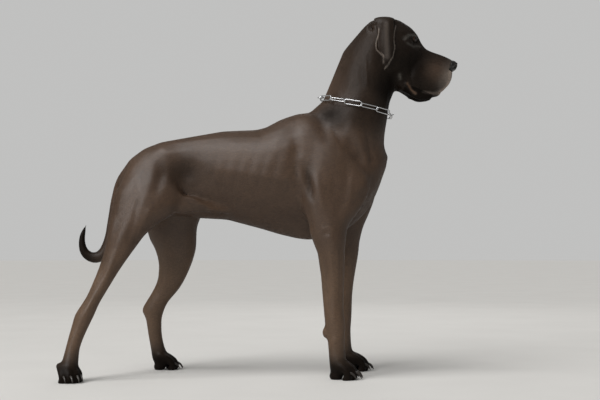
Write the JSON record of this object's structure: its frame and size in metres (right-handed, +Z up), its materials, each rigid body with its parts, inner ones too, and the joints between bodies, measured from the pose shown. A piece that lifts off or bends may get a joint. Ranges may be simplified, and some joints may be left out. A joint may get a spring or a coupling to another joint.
{
  "type": "great dane",
  "caption": "Life-size great dane standing in show stance, one hind leg stretched back, with folded hanging ears, a low hooked tail and a chain collar round the neck.",
  "frame": {"origin": "middle of the dog's footprint box, on the floor it stands on", "axes": "+X forwards towards the nose, +Y to the dog's left, +Z up"},
  "size_m": [1.2128, 0.4318, 1.1135],
  "materials": {
    "coat": "short dense dark brown-grey dog coat, lying flat",
    "nose": "moist black nose leather",
    "claws": "dark polished horn",
    "eyes": "wet dark brown eye",
    "collar": "polished chain of round wire"
  },
  "bodies": {
    "root": {"claw_front_left_1": "claws", "claw_front_left_2": "claws", "claw_front_left_3": "claws", "claw_front_left_4": "claws", "claw_front_right_1": "claws", "claw_front_right_2": "claws", "claw_front_right_3": "claws", "claw_front_right_4": "claws", "claw_hind_left_1": "claws", "claw_hind_left_2": "claws", "claw_hind_left_3": "claws", "claw_hind_left_4": "claws", "claw_hind_right_1": "claws", "claw_hind_right_2": "claws", "claw_hind_right_3": "claws", "claw_hind_right_4": "claws", "collar_link_01": "collar", "collar_link_02": "collar", "collar_link_03": "collar", "collar_link_04": "collar", "collar_link_05": "collar", "collar_link_06": "collar", "collar_link_07": "collar", "collar_link_08": "collar", "collar_link_09": "collar", "collar_link_10": "collar", "collar_link_11": "collar", "collar_link_12": "collar", "collar_ring_nape": "collar", "collar_ring_throat": "collar", "ear_left": "coat", "ear_right": "coat", "eye_left": "eyes", "eye_right": "eyes", "head": "coat", "leg_front_left": "coat", "leg_front_right": "coat", "leg_hind_left": "coat", "leg_hind_right": "coat", "neck": "coat", "nose": "nose", "paw_front_left": "coat", "paw_front_right": "coat", "paw_hind_left": "coat", "paw_hind_right": "coat", "tail": "coat", "torso": "coat"}
  },
  "joints": []
}
